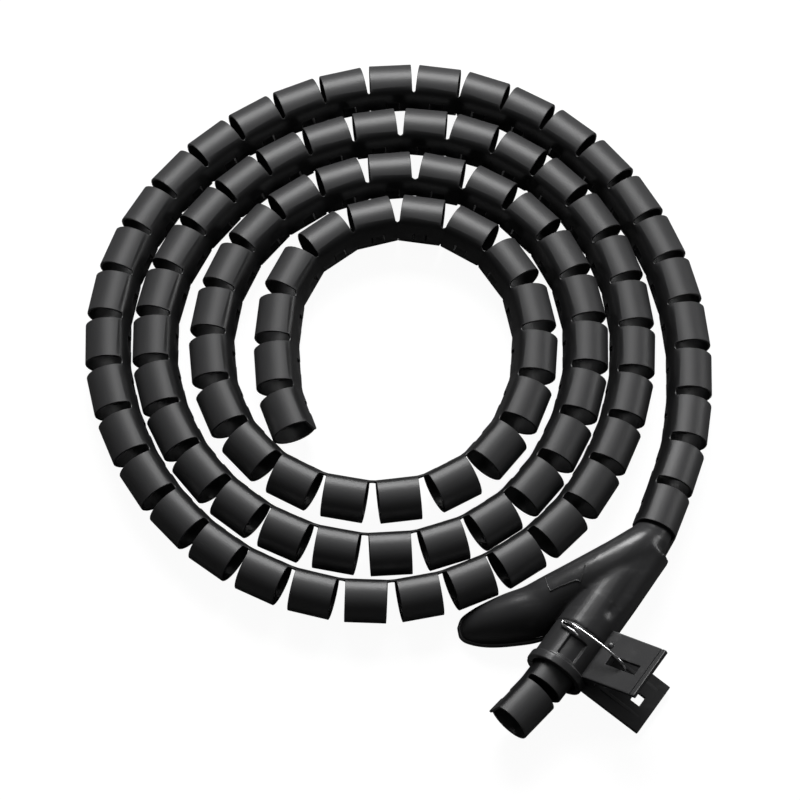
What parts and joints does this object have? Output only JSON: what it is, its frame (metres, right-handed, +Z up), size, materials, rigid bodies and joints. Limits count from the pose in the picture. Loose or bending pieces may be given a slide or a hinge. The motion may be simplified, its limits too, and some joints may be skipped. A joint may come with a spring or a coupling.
{
  "type": "split ring cable wrap with clip-on applicator",
  "caption": "Loose flat coil of black ringed split tube for bundling cables, with its scoop-shaped applicator and sprung clip at the outer end.",
  "frame": {"origin": "on the floor under the middle of the whole part", "axes": "+X to the right and +Y to the back as the coil lies with its outer end and applicator at the front right, +Z up from the floor"},
  "size_m": [0.257, 0.3028, 0.0308],
  "materials": {
    "wrap_plastic": "black polyethylene with a soft satin sheen",
    "tool_plastic": "black moulded plastic, half gloss",
    "jaw_plastic": "black moulded plastic, half gloss",
    "spring_steel": "bright drawn wire"
  },
  "bodies": {
    "wrap_and_applicator": {"cable_wrap": "wrap_plastic", "applicator_body": "tool_plastic", "clip_spring": "spring_steel"},
    "jaw": {"clip_jaw": "jaw_plastic"}
  },
  "joints": [
    {"name": "clip_hinge", "type": "hinge", "parent": "wrap_and_applicator", "child": "jaw", "pos_m": [0.0752, -0.13106, 0.0145], "axis": [-0.5519, -0.8339, 0], "range_deg": [0, 18], "stiffness_Nm_per_rad": 0.05, "springref_deg": -8.59, "deforming": ["clip_spring"]}
  ]
}
